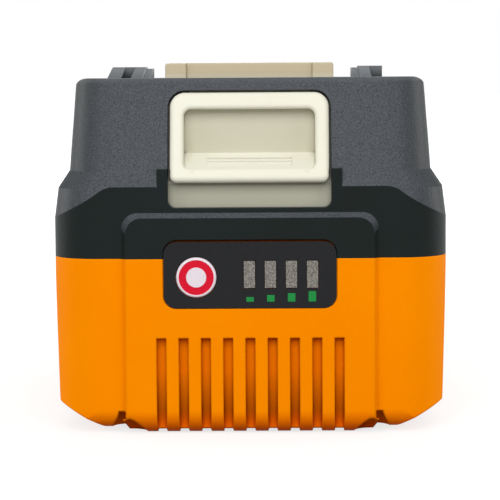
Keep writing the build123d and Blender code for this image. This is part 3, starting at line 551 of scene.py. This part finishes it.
# The upper case is a glass-filled black-grey moulding. Its mould is spark-eroded: whatever leans
# or lies flat is coarse and speckled, and it is painted paler than the smooth upright faces as a
# painted sheen of the light from above, less so at the sides. The terminal guards are paler towards
# their tops, and the gaps are painted nearly black as shade.
speckle_scale = 3800
smooth_finish, coarse_finish = 0.42, 0.85
sheen_side_share = 0.25
guard_start, guard_end = 0.0662, 0.0684
dark_plastic = moulded_plastic(
    "dark_plastic", colour=tint(27, 34, 33), shade=tint(24, 30, 29), edge_colour=tint(44, 49, 50),
    grain=2300, depth=0.00005, rough=smooth_finish, gloss=0.07, edge=0.0003)
tree = dark_plastic.node_tree
shader = tree.nodes["Principled BSDF"]
skin_facing = facing(tree, "Normal")
speckle = spread_between(tree, grain_of(tree, speckle_scale, detail=2.0, roughness=0.7), 0.0, 1.0,
                         low_in=0.34, high_in=0.68)
# The speckle is the mould's grain; its pale tone is a painted sheen on faces that lean or lie flat.
sheen_speckle = blend_colours(tree, speckle, tint(57, 61, 66), tint(91, 94, 98))
leaning = spread_between(tree, skin_facing["Z"], 0.0, 1.0, low_in=0.01, high_in=0.06)
sideways = work_out(tree, "ABSOLUTE", skin_facing["X"])
sheen_speckle_share = spread_between(tree, sideways, 1.0, sheen_side_share, low_in=0.35, high_in=0.85)
recolour(dark_plastic, work_out(tree, "MULTIPLY", leaning, sheen_speckle_share), sheen_speckle)
tree.links.new(spread_between(tree, skin_facing["Z"], smooth_finish, coarse_finish,
                              low_in=0.3, high_in=0.8), shader.inputs["Roughness"])
# The terminal guards are paler towards their tops.
shade_along(dark_plastic, up_the_case, guard_start, guard_end, tint(112, 116, 119))
# Painted shade: the gaps between parts are nearly black.
shade_recesses(dark_plastic, reach=0.0015, low=0.2, high=0.5, painted_shade_colour=tint(8, 9, 9), alone=False)
dress(dark_plastic, "upper_case")


# The gauge label is a polycarbonate film with a dark satin print, let into the panel and glued.
# Only its print's fine grain breaks the sheen.
label_gloss = 0.12
label_film, tree, shader = thin_skin("label_film", tint(34, 34, 36), tint(26, 27, 29), clouds=(2400, 2.0),
                                     grain=(2400, 2.0), depth=0.00001, strength=0.5)
satin = grain_of(tree, scale=900)
tree.links.new(spread_between(tree, satin, low=0.3, high=0.4), shader.inputs["Roughness"])
shader.inputs["Specular IOR Level"].default_value = label_gloss
dress(label_film, "gauge_label")


# Four green bars under the windows say how full the pack is. They are screen-printed on the
# film, each taller than the last.
ink_roughness, ink_gloss = 0.5, 0.15
bar_width = 0.0014
bar_rise = 0.0012
bar_heights = (0.00088, 0.00125, 0.00158, 0.00195)
bar_pitch = 0.0039
bar_corner = 0.00012
ink_thickness = 0.00003
label_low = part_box("gauge_label")[0]
print_ink, tree, shader = thin_skin("print_ink", tint(34, 147, 70), tint(21, 126, 56), clouds=(3000, 3.0),
                                    grain=(3000, 3.0), depth=0.00001, strength=0.8)
shader.inputs["Roughness"].default_value = ink_roughness
shader.inputs["Specular IOR Level"].default_value = ink_gloss
for order, height in enumerate(bar_heights):
    bar_middle = label_low.z + bar_rise + height / 2
    bpy.ops.object.select_all(action="DESELECT")
    bpy.ops.mesh.primitive_plane_add(size=1.0, location=(order * bar_pitch, label_low.y, bar_middle),
                                     rotation=(math.pi / 2, 0, 0))
    bar = bpy.context.object
    bar.name = "charge_bar_" + str(order + 1)
    bar.scale = (bar_width, height, 1)
    bpy.ops.object.transform_apply(location=True, rotation=True, scale=True)
    rounding = bar.modifiers.new("corners", "BEVEL")
    rounding.affect = "VERTICES"
    rounding.width = bar_corner
    rounding.segments = 3
    bpy.ops.object.modifier_apply(modifier="corners")
    ink = bar.modifiers.new("ink", "SOLIDIFY")
    ink.thickness = ink_thickness
    ink.offset = 1.0
    bpy.ops.object.modifier_apply(modifier="ink")
    bar.data.materials.append(print_ink)
    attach(bar, "pack")


# The check button is a small white push button with a collar, pressed to light the gauge. A red
# ring is printed in a shallow groove round its white middle.
cap_radius = 0.0038
cap_round = 0.0004
ring_outer = 0.0033
ring_inner = 0.00186
groove_depth = 0.00006
groove_wall = 0.00004
collar_thickness = 0.0008
collar_round = 0.00012
round_sides = 96
squarely, roughly, round_corners = 0.9, 0.5, 20
hair, edge_reach = 1e-6, 0.0001
button_smoothing = math.radians(35)
white_roughness = 0.35
red_roughness = 0.4
button_white, tree, shader = thin_skin("button_white", tint(236, 224, 232), tint(226, 216, 222),
                                       clouds=(1200, 2.0), grain=(1500, 2.0), depth=0.00001, strength=0.5)
shader.inputs["Roughness"].default_value = white_roughness
button_red, tree, shader = thin_skin("button_red", tint(226, 18, 50), tint(208, 12, 42),
                                     clouds=(2600, 3.0), grain=(2600, 3.0), depth=0.00001, strength=0.6)
shader.inputs["Roughness"].default_value = red_roughness
shader.inputs["Specular IOR Level"].default_value = ink_gloss


def pick_faces(piece, wanted):
    """Select only the faces that the test wants, in edit mode."""
    shape = bmesh.from_edit_mesh(piece.data)
    for face in shape.faces:
        face.select_set(False)
    for face in shape.faces:
        if wanted(face):
            face.select_set(True)
    shape.select_flush_mode()
    bmesh.update_edit_mesh(piece.data)


def round_end(direction):
    """A test for the flat round end of a turned piece that looks along a direction."""
    def wanted(face):
        return face.normal.dot(direction) > squarely and len(face.verts) > round_corners
    return wanted


button_low, button_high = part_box("check_button")
button_middle = Vector(((button_low.x + button_high.x) / 2, button_low.y,
                        (button_low.z + button_high.z) / 2))
cap_length = button_high.y - button_low.y
cap_front = round_end(Vector((0, -1, 0)))
bpy.ops.object.select_all(action="DESELECT")
bpy.ops.mesh.primitive_cylinder_add(
    vertices=round_sides, radius=cap_radius, depth=cap_length, rotation=(math.pi / 2, 0, 0),
    location=(button_middle.x, button_low.y + cap_length / 2, button_middle.z))
push_button = bpy.context.object
push_button.name = "push_button"
bpy.ops.object.transform_apply(location=True, rotation=True, scale=True)
push_button.data.materials.append(button_white)
push_button.data.materials.append(button_red)
bpy.ops.object.mode_set(mode="EDIT")
bpy.ops.mesh.select_mode(type="FACE")
for width, depth in ((cap_radius - ring_outer, 0), (groove_wall, -groove_depth),
                     (ring_outer - ring_inner - 2 * groove_wall, 0)):
    pick_faces(push_button, cap_front)
    bpy.ops.mesh.inset(thickness=width, depth=depth)
shape = bmesh.from_edit_mesh(push_button.data)
for face in shape.faces:
    reach = (face.calc_center_median() - button_middle).xz.length
    if face.normal.y < -roughly and ring_inner < reach < ring_outer and len(face.verts) == 4:
        face.material_index = 1
bmesh.update_edit_mesh(push_button.data)
pick_faces(push_button, cap_front)
bpy.ops.mesh.inset(thickness=groove_wall, depth=groove_depth)

shape = bmesh.from_edit_mesh(push_button.data)
for edge in shape.edges:
    middle = (edge.verts[0].co + edge.verts[1].co) / 2 - button_middle
    edge.select_set(abs(middle.y) < hair and middle.xz.length > cap_radius - edge_reach)
bmesh.update_edit_mesh(push_button.data)
bpy.ops.mesh.select_mode(type="EDGE")
bpy.ops.mesh.bevel(offset=cap_round, segments=6, affect="EDGES")
bpy.ops.mesh.select_mode(type="FACE")
bpy.ops.mesh.select_all(action="DESELECT")
bpy.ops.mesh.primitive_cylinder_add(
    vertices=round_sides, radius=(button_high.x - button_low.x) / 2, depth=collar_thickness,
    rotation=(math.pi / 2, 0, 0),
    location=(button_middle.x, button_high.y - collar_thickness / 2, button_middle.z))
bpy.ops.mesh.bevel(offset=collar_round, segments=3, affect="EDGES")
bpy.ops.object.mode_set(mode="OBJECT")
bpy.ops.object.shade_smooth_by_angle(angle=button_smoothing)
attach(push_button, "check_button")
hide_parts("check_button")


# Four self-tapping screws come up from below and hold the two cases together. Each is zinc
# plated, with a pan head, a cross recess and a blunt point.
head_radius = 0.0024
head_height = 0.002
head_round = 0.0005
recess_reach = 0.0015
recess_width = 0.0006
recess_depth = 0.0011
shank_radius = 0.0015
point_length = 0.002
point_share = 0.3
screw_smoothing = math.radians(35)
screw_low, screw_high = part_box("case_screws")
screw_length = screw_high.z - screw_low.z
bpy.ops.object.select_all(action="DESELECT")
bpy.ops.mesh.primitive_cylinder_add(vertices=48, radius=head_radius, depth=head_height,
                                    location=(0, 0, head_height / 2))
first_screw = bpy.context.object
first_screw.name = "screw_pattern"
bpy.ops.object.transform_apply(location=True, rotation=True, scale=True)
first_screw.data.materials.append(zinc)
bpy.ops.object.mode_set(mode="EDIT")
bpy.ops.mesh.select_mode(type="FACE")
pick_faces(first_screw, round_end(Vector((0, 0, -1))))
bpy.ops.mesh.bevel(offset=head_round, segments=5, affect="EDGES")
pick_faces(first_screw, round_end(Vector((0, 0, 1))))
bpy.ops.mesh.inset(thickness=head_radius - shank_radius, depth=0)
for rise in (screw_length - head_height - point_length, point_length):
    bpy.ops.mesh.extrude_region_move(TRANSFORM_OT_translate={"value": (0, 0, rise)})
bpy.ops.transform.resize(value=(point_share, point_share, 1.0))
bpy.ops.object.mode_set(mode="OBJECT")
for turn in (0, math.pi / 2):
    bpy.ops.object.select_all(action="DESELECT")
    bpy.ops.mesh.primitive_cube_add(size=1.0, location=(0, 0, 0), rotation=(0, 0, turn))
    cross = bpy.context.object
    cross.scale = (2 * recess_reach, recess_width, 2 * recess_depth)
    bpy.ops.object.transform_apply(location=True, rotation=True, scale=True)
    take_up(first_screw)
    recess = first_screw.modifiers.new("recess", "BOOLEAN")
    recess.operation = "DIFFERENCE"
    recess.solver = "EXACT"
    recess.object = cross
    bpy.ops.object.modifier_apply(modifier="recess")
    bpy.data.objects.remove(cross)
bpy.ops.object.shade_smooth_by_angle(angle=screw_smoothing)
screw_corners = [(side, depth) for side in (-1, 1) for depth in (screw_low.y, screw_high.y)]
for order, (side, depth) in enumerate(screw_corners):
    across_at = side * (screw_high.x - head_radius)
    along_at = depth + head_radius if depth < 0 else depth - head_radius
    screw = bpy.data.objects.new("case_screw_" + str(order + 1), first_screw.data.copy())
    bpy.context.scene.collection.objects.link(screw)
    screw.data.transform(Matrix.Translation((across_at, along_at, screw_low.z)))
    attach(screw, "pack")
    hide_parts("case_screws")
bpy.data.objects.remove(first_screw)
